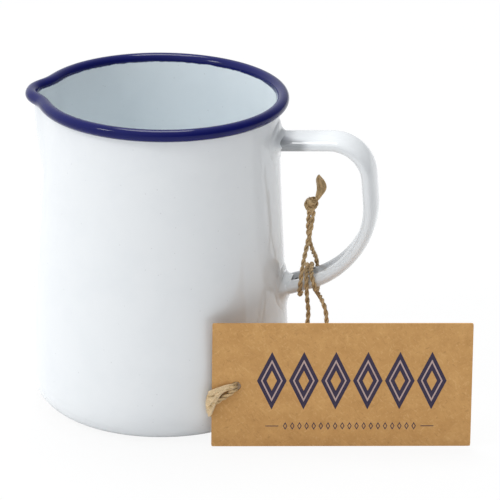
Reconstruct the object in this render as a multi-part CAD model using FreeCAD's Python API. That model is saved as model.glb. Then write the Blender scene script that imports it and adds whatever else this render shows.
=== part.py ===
"""Enamelled steel pouring jug with a strap handle and a swing tag tied on with twine.

Frame: millimetres, +Z up, origin at the centre of the base's underside.
The handle stands out along +X and the spout points along -X.
"""

import math
import os

import FreeCAD, Part

Vector = FreeCAD.Vector

# Body, outside of the finished enamel
BASE_FLAT_RADIUS = 39.0
BASE_CORNER_RADIUS = 16.7
NECK_RADIUS = 50.52  # where the wall meets the rolled rim
WALL_PROFILE = [(55.71, 16.7), (55.56, 35.0), (54.74, 50.0), (53.33, 72.0),
                (52.09, 95.0), (51.36, 110.0), (50.72, 128.0)]
STEEL = 0.7
ENAMEL = 0.25
SHEET = STEEL + 2 * ENAMEL  # enamelled on both sides

# Rolled rim
RIM_HEIGHT = 140.3  # centre of the bead
BEAD_RADIUS = 2.68  # outside of the blue enamel
LIP_OFFSET = BEAD_RADIUS - SHEET  # from the wall's outside to the bead's centre
RIM_LINE_RADIUS = NECK_RADIUS + LIP_OFFSET
CURL_END = -120.0  # degrees round the bead, 0 outwards and 180 at the wall

# Spout
SPOUT_AZIMUTH = 185.0  # degrees from the handle
SPOUT_REACH = 4.9
SPOUT_WIDTH = 11.5  # degrees each side
PINCH = 0.95
PINCH_WIDTH = 38.0
SPOUT_START = 104.0  # height where the wall begins to flare
SPOUT_FULL = 133.0

# Handle
HANDLE_LINE = [(46.0, 123.3), (89.0, 126.2), (92.5, 85.9), (76.1, 65.3), (46.0, 55.1)]
HANDLE_BENDS = [16.0, 36.0, 38.0]
STRAP_WIDTH = 19.4
STRAP_DEPTH = 6.2
GROOVE_DEPTH = 1.7
GROOVE_WIDTH = 3.4
STRAP_SHEET = 1.05
VENT_RADIUS = 0.7
VENT_FROM_WALL = 10.3  # from the start of the handle's line
VENT_HEIGHT = 58.8
VENT_LENGTH = 6.0
SADDLE_SHEET = 0.7
UPPER_SADDLE = {"height": 123.7, "width": 25.0, "above": 7.2, "below": 7.0}
LOWER_SADDLE = {"height": 57.6, "width": 25.0, "above": 8.0, "below": 10.0}
WELD_RADIUS = 1.8
WELD_SPREAD = 5.0
FIT_GAP = 0.06
SEAM_TOLERANCE = 0.02
LINE_POINTS = 90
WALL_LEVELS = [25.0, 35.0, 50.0, 72.0, 90.0, 104.0, 108.0, 113.0, 119.0, 125.0, 130.0, 134.0]

# Swing tag: its hinge line is its tied edge
TAG_HINGE = (31.27, -49.52)
TAG_AZIMUTH = 11.16
TAG_LENGTH = 111.0
TAG_HEIGHT = 56.2
TAG_GROUND_GAP = 1.0
TAG_THICKNESS = 0.8
TAG_CORNER = 0.8
TAG_HOLE = (10.3, 28.65)  # along from the hinge, height
TAG_HOLE_RADIUS = 2.1
PRINT_THICKNESS = 0.06
LARGE_LOZENGE = {"left": 18.7, "right": 100.6, "height": 31.15, "half_width": 6.35,
                 "half_height": 13.2, "band": 3.72, "count": 6}
SMALL_LOZENGE = {"left": 30.0, "right": 88.0, "height": 10.35, "half_width": 0.95,
                 "half_height": 1.75, "band": 0.34, "count": 19}
RULES = [(23.0, 28.6), (89.4, 95.0)]
RULE_HALF = 0.16

# Twine
TWINE = 1.8
TWINE_GAP = 0.1
ARM_SLOPE = 0.339
ARM_POINT = (65.0, 61.6)  # a point on the lower arm's centreline
WRAP_SIDE = STRAP_WIDTH / 2 + TWINE / 2 + TWINE_GAP
WRAP_ABOVE = STRAP_DEPTH / 2 + TWINE / 2 + 1.3  # the turns stand off the arm's top
WRAP_BELOW = STRAP_DEPTH / 2 + TWINE / 2 + 0.7
KNOT_CENTRE = Vector(65.6, 0, 95.9)
KNOT_RADIUS = 3.05
KNOT_HALF_HEIGHT = 3.5
# Frayed end above the knot: centre X, height, half width, half depth
TAIL_SECTIONS = [(68.0, 98.0, 0.9, 0.9), (68.9, 100.5, 1.3, 0.9), (69.3, 103.0, 1.95, 0.9),
                 (69.2, 105.5, 1.9, 0.8), (68.8, 108.0, 1.1, 0.6), (68.5, 109.8, 0.35, 0.3)]

os.makedirs("parts", exist_ok=True)


def save(name, shape):
    """Writes one node and says how large it is."""
    assert shape.isValid(), name
    shape.exportStep("parts/" + name + ".step")
    print("%-18s solids %d volume %.1f" % (name, len(shape.Solids), shape.Volume))


def smooth(value):
    value = min(1.0, max(0.0, value))
    return value * value * (3 - 2 * value)


def spout_bulge(azimuth):
    """How far the rim's line stands out of its circle at this azimuth, in degrees."""
    away = abs((azimuth - SPOUT_AZIMUTH + 180) % 360 - 180)
    lip = SPOUT_REACH * math.exp(-((away / SPOUT_WIDTH) ** 2.6))
    return lip - PINCH * math.exp(-((away / PINCH_WIDTH) ** 2))


def wall_radius(height):
    """Radius of the finished outer wall, without the spout."""
    points = WALL_PROFILE + [(NECK_RADIUS, RIM_HEIGHT)]
    for (r0, z0), (r1, z1) in zip(points, points[1:]):
        if height <= z1:
            return r0 + (r1 - r0) * (height - z0) / (z1 - z0)
    return NECK_RADIUS


def closed_line(points):
    curve = Part.BSplineCurve()
    curve.interpolate(Points=points, PeriodicFlag=True)
    return Part.Wire([curve.toShape()])


def ring_line(height, radius, flare, inset=0.0):
    """A closed level line: a circle of this radius plus flare times the spout, then inset."""
    points = []
    for i in range(LINE_POINTS):
        azimuth = 360.0 * i / LINE_POINTS
        a = math.radians(azimuth)
        r = radius + flare * spout_bulge(azimuth)
        step = math.degrees(0.001)
        slope = flare * (spout_bulge(azimuth + step) - spout_bulge(azimuth - step)) / 0.002
        along = Vector(slope * math.cos(a) - r * math.sin(a),
                       slope * math.sin(a) + r * math.cos(a), 0)
        along.normalize()
        out = Vector(along.y, -along.x, 0)
        points.append(Vector(r * math.cos(a), r * math.sin(a), height) - out * inset)
    return closed_line(points)


def wall_lines(inset, top):
    """Level lines from the flat base round its corner and up the wall."""
    lines, corner = [], BASE_CORNER_RADIUS - inset
    for i in range(9):
        a = math.pi / 2 * i / 8
        lines.append(ring_line(BASE_CORNER_RADIUS - corner * math.cos(a),
                               BASE_FLAT_RADIUS + corner * math.sin(a), 0))
    for height in WALL_LEVELS + [top]:
        flare = smooth((height - SPOUT_START) / (SPOUT_FULL - SPOUT_START))
        lines.append(ring_line(height, wall_radius(height) + LIP_OFFSET, flare, LIP_OFFSET + inset))
    return lines


def bead_lines(radius, steps=18):
    """Level lines round the bead's section, from its inner side over the top to the curl's end."""
    lines = []
    for i in range(steps + 1):
        a = math.radians(180.0 + (CURL_END - 180.0) * i / steps)
        lines.append(ring_line(RIM_HEIGHT + radius * math.sin(a), RIM_LINE_RADIUS, 1.0,
                               -radius * math.cos(a)))
    return lines


def skin(lines):
    return Part.makeLoft(lines, False, len(lines) == 2).Faces


def closed_solid(faces):
    shell = Part.Shell(faces)
    shell.sewShape(SEAM_TOLERANCE)
    solid = Part.Solid(shell)
    if solid.Volume < 0:
        solid.reverse()
    return solid


def base_face(lines):
    return [Part.Face(lines[0])]


def vessel_solid():
    """The pressed sheet with its enamel: base and wall, open at the mouth."""
    outer, inner = wall_lines(0, RIM_HEIGHT), wall_lines(SHEET, RIM_HEIGHT)
    faces = base_face(outer) + skin(outer) + skin([outer[-1], inner[-1]])
    return closed_solid(faces + skin(inner) + base_face(inner))


def rim_solid():
    """The sheet's edge rolled outwards over the top, under its blue enamel."""
    under, over = bead_lines(BEAD_RADIUS - SHEET), bead_lines(BEAD_RADIUS)
    ends = skin([under[0], over[0]]) + skin([under[-1], over[-1]])
    return closed_solid(skin(over) + skin(under) + ends)


def plain_solid(inset, low, high):
    """The space inside the wall between two heights, where the spout doesn't reach."""
    heights = [low] + [z for _, z in WALL_PROFILE if low < z < high] + [high]
    wall = Part.BSplineCurve()
    line = [Vector(wall_radius(z) - inset, 0, z) for z in heights]
    wall.interpolate(line)
    bottom, top = Vector(0, 0, low), Vector(0, 0, high)
    edges = [Part.makeLine(bottom, line[0]), wall.toShape(),
             Part.makeLine(line[-1], top), Part.makeLine(top, bottom)]
    return Part.Face(Part.Wire(edges)).revolve(Vector(0, 0, 0), Vector(0, 0, 1), 360)


def rounded_path(points, bends=None):
    """Straight runs joined by tangent arcs. Without bends, each arc is as large as its runs allow."""
    edges, radii, start = [], [], points[0]
    for i in range(1, len(points) - 1):
        before, corner, after = points[i - 1], points[i], points[i + 1]
        back, on = before - corner, after - corner
        run = min(back.Length, on.Length)
        back.normalize()
        on.normalize()
        half = back.getAngle(on) / 2
        radius = bends[i - 1] if bends else 0.45 * run * math.tan(half)
        reach = radius / math.tan(half)
        inward = (back + on).normalize()
        first, last = corner + back * reach, corner + on * reach
        middle = corner + inward * (radius / math.sin(half) - radius)
        edges.append(Part.LineSegment(start, first).toShape())
        edges.append(Part.Arc(first, middle, last).toShape())
        radii.append(radius)
        start = last
    edges.append(Part.LineSegment(start, points[-1]).toShape())
    return Part.Wire(edges), radii


def strap_section(inset, count=48):
    """The strap's outline, across in Y and outwards in Z, with the seam's groove on its inner side."""
    half_width, half_depth = STRAP_WIDTH / 2, STRAP_DEPTH / 2
    outline = []
    for i in range(count):
        a = 2 * math.pi * (i + 0.5) / count
        across = half_width * math.copysign(abs(math.cos(a)) ** 0.8, math.cos(a))
        out = half_depth * math.copysign(abs(math.sin(a)) ** 0.8, math.sin(a))
        if out < 0:
            out += GROOVE_DEPTH * math.exp(-((across / GROOVE_WIDTH) ** 2))
        outline.append((across, out))
    inner = []
    for i, (across, out) in enumerate(outline):
        (ax, ao), (bx, bo) = outline[i - 1], outline[(i + 1) % count]
        long = math.hypot(bx - ax, bo - ao)
        inner.append((across - inset * (bo - ao) / long, out + inset * (bx - ax) / long))
    return inner


def strap(inset):
    """The handle's solid, inset from its finished outside."""
    line = [Vector(x, 0, z) for x, z in HANDLE_LINE]
    path, _ = rounded_path(line, HANDLE_BENDS)
    along = (line[1] - line[0]).normalize()
    out = Vector(-along.z, 0, along.x)
    points = [line[0] + Vector(0, 1, 0) * y + out * z for y, z in strap_section(inset)]
    return path.makePipeShell([closed_line(points)], True, False)


def saddle_outline(size):
    """The outline of a saddle, looking along X: a rounded plate, pointed below."""
    half = size["width"] / 2
    top, low = size["height"] + size["above"], size["height"] - size["below"]
    shoulder = size["height"] - 1
    corner = 0.2 * size["width"]
    points = [Vector(0, 0, top), Vector(0, half, top), Vector(0, half, shoulder),
              Vector(0, 0, low), Vector(0, -half, shoulder), Vector(0, -half, top),
              Vector(0, 0, top)]
    path, _ = rounded_path(points, [corner] * 5)
    return Part.Face(path).extrude(Vector(80, 0, 0))


def weld_rods(size):
    rods = []
    for side in (-1, 1):
        start = Vector(40, side * WELD_SPREAD, size["height"])
        rods.append(Part.makeCylinder(WELD_RADIUS, 30, start, Vector(1, 0, 0)))
    return rods


def saddle_seat(size, inset):
    low, high = size["height"] - size["below"] - 4, size["height"] + size["above"] + 3
    return plain_solid(inset, low, high)


def body_parts():
    """The enamelled body, the rolled rim, the handle and its fixings."""
    save("body_shell", vessel_solid())
    save("rim_bead", rim_solid())

    welds = []
    vent_x = HANDLE_LINE[-1][0] + VENT_FROM_WALL
    vent = Part.makeCylinder(VENT_RADIUS, VENT_LENGTH, Vector(vent_x, 0, VENT_HEIGHT))
    tube = strap(0).cut(strap(STRAP_SHEET)).cut(vent)
    for name, size in (("upper_saddle", UPPER_SADDLE), ("lower_saddle", LOWER_SADDLE)):
        seat = saddle_seat(size, -SADDLE_SHEET)
        plate = seat.cut(saddle_seat(size, -FIT_GAP))
        shape = plate.common(saddle_outline(size))
        for rod in weld_rods(size):
            welds.append(plate.common(rod))
            shape = shape.cut(rod)
        save(name, shape)
        tube = tube.cut(seat)
    save("weld_spots", Part.makeCompound(welds))
    save("handle_strap", max(tube.Solids, key=lambda s: s.Volume))


def tag_place(shape):
    """Moves a piece from the tag's own frame: along in X, back in Y, hinge line at X = Y = 0."""
    place = FreeCAD.Placement(Vector(TAG_HINGE[0], TAG_HINGE[1], 0),
                              FreeCAD.Rotation(Vector(0, 0, 1), TAG_AZIMUTH))
    shape.Placement = place
    return shape


def tag_point(along, front, height):
    a = math.radians(TAG_AZIMUTH)
    return Vector(TAG_HINGE[0] + along * math.cos(a) + front * math.sin(a),
                  TAG_HINGE[1] + along * math.sin(a) - front * math.cos(a), height)


def tag_card():
    card = Part.makeBox(TAG_LENGTH, TAG_THICKNESS, TAG_HEIGHT,
                        Vector(0, -TAG_THICKNESS / 2, TAG_GROUND_GAP))
    upright = [e for e in card.Edges if abs(e.tangentAt(e.FirstParameter).y) > 0.9]
    card = card.makeFillet(TAG_CORNER, upright)
    hole = Part.makeCylinder(TAG_HOLE_RADIUS, 4, Vector(TAG_HOLE[0], -2, TAG_HOLE[1]), Vector(0, 1, 0))
    return tag_place(card.cut(hole))


def ink(outline):
    """A printed shape on the card's front, from points along and up."""
    points = [Vector(x, -TAG_THICKNESS / 2, z) for x, z in outline]
    return Part.Face(Part.makePolygon(points + points[:1])).extrude(Vector(0, -PRINT_THICKNESS, 0))


def lozenges(spec):
    """A row of open lozenges between two points along the tag."""
    wide, high = spec["half_width"], spec["half_height"]
    inner = 1 - spec["band"] * math.hypot(wide, high) / (wide * high)
    pitch = (spec["right"] - spec["left"]) / spec["count"]
    shapes = []
    for i in range(spec["count"]):
        x, z = spec["left"] + pitch * (i + 0.5), spec["height"]
        outer, middle = [ink([(x - wide * k, z), (x, z - high * k), (x + wide * k, z),
                              (x, z + high * k)]) for k in (1, inner)]
        shapes.append(outer.cut(middle))
    return shapes


def tag_print():
    """A plain border: large open lozenges over a row of small ones between two rules."""
    shapes = lozenges(LARGE_LOZENGE) + lozenges(SMALL_LOZENGE)
    low, high = SMALL_LOZENGE["height"] - RULE_HALF, SMALL_LOZENGE["height"] + RULE_HALF
    for left, right in RULES:
        shapes.append(ink([(left, low), (right, low), (right, high), (left, high)]))
    return tag_place(Part.makeCompound(shapes))


def cord(name, points):
    """A plain round tube along a route, with its bends and length printed."""
    path, radii = rounded_path(points)
    start = (points[1] - points[0]).normalize()
    section = Part.Wire([Part.makeCircle(TWINE / 2, points[0], start)])
    tube = path.makePipeShell([section], True, True)
    ideal = math.pi * (TWINE / 2) ** 2 * path.Length
    print("%s length %.1f bends %s volume ratio %.4f" % (
        name, path.Length, " ".join("%.1f" % r for r in radii), tube.Volume / ideal))
    save(name, tube)


def wrap_point(x, side, face):
    """A corner of a turn round the lower arm: side -1 is nearer the tag, face 1 is on top."""
    height = ARM_POINT[1] + ARM_SLOPE * (x - ARM_POINT[0])
    height += WRAP_ABOVE if face > 0 else -WRAP_BELOW
    return Vector(x, side * WRAP_SIDE, height)


def twine_parts():
    """The loop of twine: two strands from the knot, hitched round the lower arm, down to the tag."""
    left = [Vector(66.55, -0.3, 92.6), Vector(65.9, -0.8, 86.0), Vector(64.5, -1.1, 79.2),
            Vector(63.7, -6.2, 73.0), wrap_point(63.2, -1, 1), wrap_point(62.3, -1, -1),
            wrap_point(61.7, 1, -1), wrap_point(62.9, 1, 1), wrap_point(65.4, -1, 1),
            Vector(65.8, -10.9, 58.0), Vector(67.2, -12.4, 49.0), Vector(66.0, -18.5, 41.5),
            Vector(58.5, -28.5, 35.5), Vector(47.5, -38.5, 32.8), tag_point(8.0, -4.4, 32.0),
            tag_point(0.6, -1.7, 32.0)]
    right = [Vector(64.65, 0.3, 92.6), Vector(64.0, 0.8, 86.0), Vector(64.6, 1.1, 79.2),
             Vector(65.8, 5.0, 72.5), wrap_point(66.7, 1, 1), wrap_point(67.7, 1, -1),
             wrap_point(70.2, -1, -1), wrap_point(67.35, -1, 1), wrap_point(64.8, 1, 1),
             wrap_point(64.6, 1, -1) - Vector(0, 0, 2.1), wrap_point(72.4, -1, -1) - Vector(0, 0, 2.3),
             Vector(75.2, -12.6, 49.5), Vector(75.0, -17.5, 42.5), Vector(66.5, -27.5, 38.0),
             Vector(52.0, -37.8, 35.4), tag_point(9.5, -5.4, 34.4), tag_point(0.6, -1.7, 34.1)]
    cord("twine_left", left)
    cord("twine_right", right)

    upper, lower = TAG_HOLE[1] + 0.95, TAG_HOLE[1] - 0.95
    back = TAG_THICKNESS / 2 + TWINE / 2 + TWINE_GAP
    front = back + 0.3
    edge = TWINE / 2 + TWINE_GAP
    hole = TAG_HOLE[0]
    loop = [tag_point(1.0, -back, 29.8), tag_point(4.5, -back, 29.9), tag_point(hole, -back, upper),
            tag_point(hole, front, upper), tag_point(4.2, front, 27.0),
            tag_point(-2 * edge, front, 24.0), tag_point(-edge, -back, 23.2),
            tag_point(3.4, -back, 22.9), tag_point(3.4, -back, 19.2),
            tag_point(-edge, -back, 19.0), tag_point(-2 * edge, front, 19.4),
            tag_point(4.6, front, 23.6), tag_point(hole, front, lower),
            tag_point(hole, -back, lower), tag_point(4.5, -back, 27.6), tag_point(1.0, -back, 27.4)]
    cord("tag_loop", loop)

    knot = Part.makeSphere(KNOT_RADIUS)
    stretch = FreeCAD.Matrix()
    stretch.scale(1, 1, KNOT_HALF_HEIGHT / KNOT_RADIUS)
    knot = knot.transformGeometry(stretch)
    knot.translate(KNOT_CENTRE)
    save("twine_knot", knot)

    sections = []
    for x, z, wide, deep in TAIL_SECTIONS:
        ring = [Vector(x + wide * math.cos(a), deep * math.sin(a), z)
                for a in (2 * math.pi * i / 16 for i in range(16))]
        sections.append(closed_line(ring))
    save("twine_tail", Part.makeLoft(sections, True, False))


body_parts()
save("tag_card", tag_card())
save("tag_print", tag_print())
twine_parts()
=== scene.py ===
import math
import random

import bmesh
import bpy
from mathutils import Matrix, Vector, kdtree


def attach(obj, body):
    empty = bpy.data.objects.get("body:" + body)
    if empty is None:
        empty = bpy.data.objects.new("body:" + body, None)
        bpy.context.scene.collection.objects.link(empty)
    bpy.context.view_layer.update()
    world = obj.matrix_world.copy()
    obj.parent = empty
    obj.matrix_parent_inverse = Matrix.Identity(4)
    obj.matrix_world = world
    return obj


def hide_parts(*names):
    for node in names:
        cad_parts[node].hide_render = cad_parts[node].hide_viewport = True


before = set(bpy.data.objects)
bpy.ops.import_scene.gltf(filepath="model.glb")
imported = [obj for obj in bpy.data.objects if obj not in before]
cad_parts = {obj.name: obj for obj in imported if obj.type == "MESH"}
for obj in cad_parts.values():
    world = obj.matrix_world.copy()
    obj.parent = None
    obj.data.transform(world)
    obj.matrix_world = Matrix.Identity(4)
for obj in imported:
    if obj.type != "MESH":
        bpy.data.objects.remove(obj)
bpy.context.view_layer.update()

mm = 0.001
print("frame loaded:", len(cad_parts), "nodes")


# Camera

cameraSettings = {
    "azimuth": 9.0,
    "elevation": 20.30,
    "roll": 0.74,
    "lens": 360.0,
    "sensor": 36.0,
    "distance": 2.190,
    "aimRight": 39.5 * mm,
    "aimUp": 65.8 * mm,
}


def addCamera(s):
    a, e, r = (math.radians(s[k]) for k in ("azimuth", "elevation", "roll"))
    back = Vector((math.sin(a) * math.cos(e), -math.cos(a) * math.cos(e), math.sin(e)))
    level = Vector((math.cos(a), math.sin(a), 0))
    upright = back.cross(level)
    right = level * math.cos(r) + upright * math.sin(r)
    up = upright * math.cos(r) - level * math.sin(r)
    place = right * s["aimRight"] + up * s["aimUp"] + back * s["distance"]
    bpy.ops.object.camera_add()
    camera = bpy.context.object
    camera.name = "mainCamera"
    turn = Matrix((right, up, back)).transposed().to_4x4()
    camera.matrix_world = Matrix.Translation(place) @ turn
    camera.data.lens = s["lens"]
    camera.data.sensor_width = s["sensor"]
    camera.data.clip_end = 20
    bpy.context.scene.camera = camera


bpy.ops.object.select_all(action="DESELECT")
addCamera(cameraSettings)
bpy.context.scene.view_settings.view_transform = "Standard"
print("camera placed")


# Helpers for modelling

def deselectAll():
    if bpy.context.object and bpy.context.object.mode != "OBJECT":
        bpy.ops.object.mode_set(mode="OBJECT")
    bpy.ops.object.select_all(action="DESELECT")


def takeUp(obj):
    deselectAll()
    obj.select_set(True)
    bpy.context.view_layer.objects.active = obj


def settle(obj):
    takeUp(obj)
    bpy.ops.object.transform_apply(location=True, rotation=True, scale=True)


def pickVerts(obj, test):
    # in edit mode: selects the vertices that pass the test, and no others
    mesh = bmesh.from_edit_mesh(obj.data)
    mesh.verts.ensure_lookup_table()
    for v in mesh.verts:
        v.select_set(bool(test(v)))
    mesh.select_flush_mode()
    bmesh.update_edit_mesh(obj.data)


def applyAll(obj):
    takeUp(obj)
    for modifier in list(obj.modifiers):
        bpy.ops.object.modifier_apply(modifier=modifier.name)


def smoothShade(obj, angle=40):
    takeUp(obj)
    bpy.ops.object.shade_smooth_by_angle(angle=math.radians(angle))


# Twine

tagSettings = {
    "hinge": (31.27, -49.52),
    "azimuth": 11.16,
    "length": 111.0,
    "height": 56.2,
    "groundGap": 1.0,
    "thickness": 0.8,
    "hole": (10.3, 28.65),
    "holeRadius": 2.1,
    "cornerCut": 0.15,
}

twineSettings = {
    "diameter": 1.8,
    "armSlope": 0.339,
    "armPoint": (65.0, 61.6),
    "wrapSide": 10.7,
    "wrapAbove": 5.3,
    "wrapBelow": 4.7,
    "plies": 2,
    "strandsPerPly": 4,
    "plyReach": 0.40,
    "strandReach": 0.30,
    "strandRadius": 0.27,
    "plyLay": 6.4,
    "strandLay": 3.4,
    "step": 0.34,
    "sides": 1,
    "hairsPerMm": 0.9,
    "hairLength": (0.8, 2.2),
    "hairRadius": 0.035,
}


def tagPoint(along, front, height):
    a = math.radians(tagSettings["azimuth"])
    hx, hy = tagSettings["hinge"]
    return Vector((hx + along * math.cos(a) + front * math.sin(a),
                   hy + along * math.sin(a) - front * math.cos(a), height)) * mm


def wrapPoint(x, side, face, drop=0.0):
    t = twineSettings
    height = t["armPoint"][1] + t["armSlope"] * (x - t["armPoint"][0])
    height += t["wrapAbove"] if face > 0 else -t["wrapBelow"]
    return Vector((x, side * t["wrapSide"], height - drop)) * mm


def point(x, y, z):
    return Vector((x, y, z)) * mm


leftRoute = [
    point(66.55, -0.3, 92.6), point(65.9, -0.8, 86.0), point(64.5, -1.1, 79.2),
    point(63.7, -6.2, 73.0), wrapPoint(63.2, -1, 1), wrapPoint(62.3, -1, -1),
    wrapPoint(61.7, 1, -1), wrapPoint(62.9, 1, 1), wrapPoint(65.4, -1, 1),
    point(65.8, -10.9, 58.0), point(67.2, -12.4, 49.0), point(66.0, -18.5, 41.5),
    point(58.5, -28.5, 35.5), point(47.5, -38.5, 32.8), tagPoint(8.0, -4.4, 32.0),
    tagPoint(0.6, -1.7, 32.0),
]
rightRoute = [
    point(64.65, 0.3, 92.6), point(64.0, 0.8, 86.0), point(64.6, 1.1, 79.2),
    point(65.8, 5.0, 72.5), wrapPoint(66.7, 1, 1), wrapPoint(67.7, 1, -1),
    wrapPoint(70.2, -1, -1), wrapPoint(67.35, -1, 1), wrapPoint(64.8, 1, 1),
    wrapPoint(64.6, 1, -1, 2.1), wrapPoint(72.4, -1, -1, 2.3), point(75.2, -12.6, 49.5),
    point(75.0, -17.5, 42.5), point(66.5, -27.5, 38.0), point(52.0, -37.8, 35.4),
    tagPoint(9.5, -5.4, 34.4), tagPoint(0.6, -1.7, 34.1),
]
loopBack, loopFront, loopEdge = 1.4, 1.7, 1.0
loopUpper, loopLower = 29.6, 27.7
loopRoute = [
    tagPoint(1.0, -loopBack, 29.8), tagPoint(4.5, -loopBack, 29.9),
    tagPoint(10.3, -loopBack, loopUpper), tagPoint(10.3, loopFront, loopUpper),
    tagPoint(4.2, loopFront, 27.0), tagPoint(-2 * loopEdge, loopFront, 24.0),
    tagPoint(-loopEdge, -loopBack, 23.2), tagPoint(3.4, -loopBack, 22.9),
    tagPoint(3.4, -loopBack, 19.2), tagPoint(-loopEdge, -loopBack, 19.0),
    tagPoint(-2 * loopEdge, loopFront, 19.4), tagPoint(4.6, loopFront, 23.6),
    tagPoint(10.3, loopFront, loopLower), tagPoint(10.3, -loopBack, loopLower),
    tagPoint(4.5, -loopBack, 27.6), tagPoint(1.0, -loopBack, 27.4),
]
knotRoute = [
    point(65.6, 0.0, 91.8), point(65.0, 0.5, 93.4), point(64.2, 1.1, 95.6),
    point(65.1, 1.2, 98.0), point(67.3, 0.3, 97.7), point(67.9, -1.0, 95.6),
    point(66.2, -2.1, 94.3), point(64.0, -1.6, 94.7), point(63.2, 0.2, 96.2),
    point(64.4, 0.8, 97.9), point(65.8, -0.9, 97.4), point(67.0, -1.3, 96.9),
    point(67.9, -0.2, 98.3), point(68.3, 0.0, 99.6),
]


def routeLine(route):
    # the points of a smooth NURBS line with the route's points as its control points
    curve = bpy.data.curves.new("route", "CURVE")
    curve.dimensions = "3D"
    curve.resolution_u = 24
    spline = curve.splines.new("NURBS")
    spline.points.add(len(route) - 1)
    for knot, place in zip(spline.points, route):
        knot.co = (*place, 1)
    spline.order_u = 3
    spline.use_endpoint_u = True
    holder = bpy.data.objects.new("route", curve)
    bpy.context.scene.collection.objects.link(holder)
    mesh = bpy.data.meshes.new_from_object(holder)
    line = [v.co.copy() for v in mesh.vertices]
    bpy.data.objects.remove(holder)
    bpy.data.curves.remove(curve)
    bpy.data.meshes.remove(mesh)
    return line


def evenPoints(line, step):
    # the same line with its points a step apart
    out, carry = [line[0].copy()], 0.0
    for a, b in zip(line, line[1:]):
        long = (b - a).length
        if long < 1e-9:
            continue
        at = step - carry
        while at <= long:
            out.append(a.lerp(b, at / long))
            at += step
        carry = long - (at - step)
    return out


def frames(line):
    # a direction and two steady side directions at each point
    ahead = [(line[min(i + 1, len(line) - 1)] - line[max(i - 1, 0)]).normalized() for i in range(len(line))]
    side = ahead[0].orthogonal().normalized()
    out = []
    for d in ahead:
        side = (side - d * side.dot(d)).normalized()
        out.append((d, side, d.cross(side)))
    return out


def around(line, reach, lay, turn, sense=1):
    # a helix round the line
    step = (line[1] - line[0]).length
    out = []
    for i, (p, (_, n, b)) in enumerate(zip(line, frames(line))):
        a = turn + sense * 2 * math.pi * i * step / lay
        out.append(p + (n * math.cos(a) + b * math.sin(a)) * reach)
    return out


def laidStrands(line, fullness=1.0, shift=None):
    t = twineSettings
    even = evenPoints(line, t["step"] * mm)
    if shift:
        even = [p + shift for p in even]
    strands = []
    for ply in range(t["plies"]):
        core = around(even, t["plyReach"] * fullness * mm, t["plyLay"] * mm, 2 * math.pi * ply / t["plies"])
        for k in range(t["strandsPerPly"]):
            strands.append(around(core, t["strandReach"] * fullness * mm, t["strandLay"] * mm,
                                  2 * math.pi * k / t["strandsPerPly"], -1))
    return even, strands


def hairs(line, chance, reach):
    # loose fibres that start in the twine and stand off it
    t = twineSettings
    out = []
    sides = frames(line)
    step = (line[1] - line[0]).length / mm
    for p, (d, n, b) in zip(line, sides):
        if chance.random() > t["hairsPerMm"] * step:
            continue
        a = chance.uniform(0, 2 * math.pi)
        out1 = n * math.cos(a) + b * math.sin(a)
        across = d.cross(out1)
        long = chance.uniform(*t["hairLength"]) * mm
        lift = chance.uniform(0.15, 0.6)
        bend = chance.uniform(-0.5, 0.5)
        way = 1 if chance.random() < 0.5 else -1
        fibre = []
        for j in range(5):
            s = j / 4
            off = out1 * (reach * 0.8 + long * lift * s * s)
            fibre.append(p + off + d * (way * long * s) + across * (bend * long * s * s))
        out.append(fibre)
    return out


def markDepth(obj, line, reach):
    # stores how far out of the twine's middle each vertex lies, 0 inside and 1 on the outside; the twine
    # materials paint shade into the crevices from it
    tree = kdtree.KDTree(len(line))
    for i, p in enumerate(line):
        tree.insert(p, i)
    tree.balance()
    values = [min(1.0, tree.find(v.co)[2] / reach) for v in obj.data.vertices]
    attribute = obj.data.attributes.new("outward", "FLOAT", "POINT")
    attribute.data.foreach_set("value", values)


def tubes(name, groups, material):
    # one mesh from groups of (lines, radius, taper to the end)
    curve = bpy.data.curves.new(name, "CURVE")
    curve.dimensions = "3D"
    curve.bevel_depth = 1.0
    curve.bevel_resolution = twineSettings["sides"]
    curve.use_fill_caps = True
    for lines, radius, taper in groups:
        for line in lines:
            spline = curve.splines.new("POLY")
            spline.points.add(len(line) - 1)
            for i, (knot, place) in enumerate(zip(spline.points, line)):
                knot.co = (*place, 1)
                knot.radius = radius * (1 - taper * i / (len(line) - 1))
    obj = bpy.data.objects.new(name, curve)
    bpy.context.scene.collection.objects.link(obj)
    takeUp(obj)
    bpy.ops.object.convert(target="MESH")
    obj = bpy.context.object
    obj.data.materials.clear()
    obj.data.materials.append(material)
    takeUp(obj)
    bpy.ops.object.shade_smooth()
    return obj


# Materials

def nodeGroup(name, inputs, outputs):
    tree = bpy.data.node_groups.new(name, "ShaderNodeTree")
    for label, kind, value in inputs:
        socket = tree.interface.new_socket(name=label, in_out="INPUT", socket_type=kind)
        socket.default_value = value
    for label, kind in outputs:
        tree.interface.new_socket(name=label, in_out="OUTPUT", socket_type=kind)
    return tree, tree.nodes.new("NodeGroupInput"), tree.nodes.new("NodeGroupOutput")


def node(tree, kind, **values):
    made = tree.nodes.new(kind)
    for key, value in values.items():
        if hasattr(made, key):
            setattr(made, key, value)
        else:
            made.inputs[key.replace("_", " ")].default_value = value
    return made


def ramp(tree, source, stops, interpolation="LINEAR"):
    made = tree.nodes.new("ShaderNodeValToRGB")
    made.color_ramp.interpolation = interpolation
    elements = made.color_ramp.elements
    while len(elements) < len(stops):
        elements.new(0.5)
    for element, (place, colour) in zip(elements, stops):
        element.position = place
        element.color = colour if len(colour) == 4 else (*colour, 1)
    tree.links.new(source, made.inputs["Fac"])
    return made.outputs["Color"]


def mixColour(tree, factor, a, b, blend="MIX"):
    made = tree.nodes.new("ShaderNodeMix")
    made.data_type = "RGBA"
    made.blend_type = blend
    for socket, value in ((made.inputs[0], factor), (made.inputs[6], a), (made.inputs[7], b)):
        if isinstance(value, bpy.types.NodeSocket):
            tree.links.new(value, socket)
        else:
            socket.default_value = value if not isinstance(value, tuple) or len(value) == 4 else (*value, 1)
    return made.outputs[2]


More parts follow.
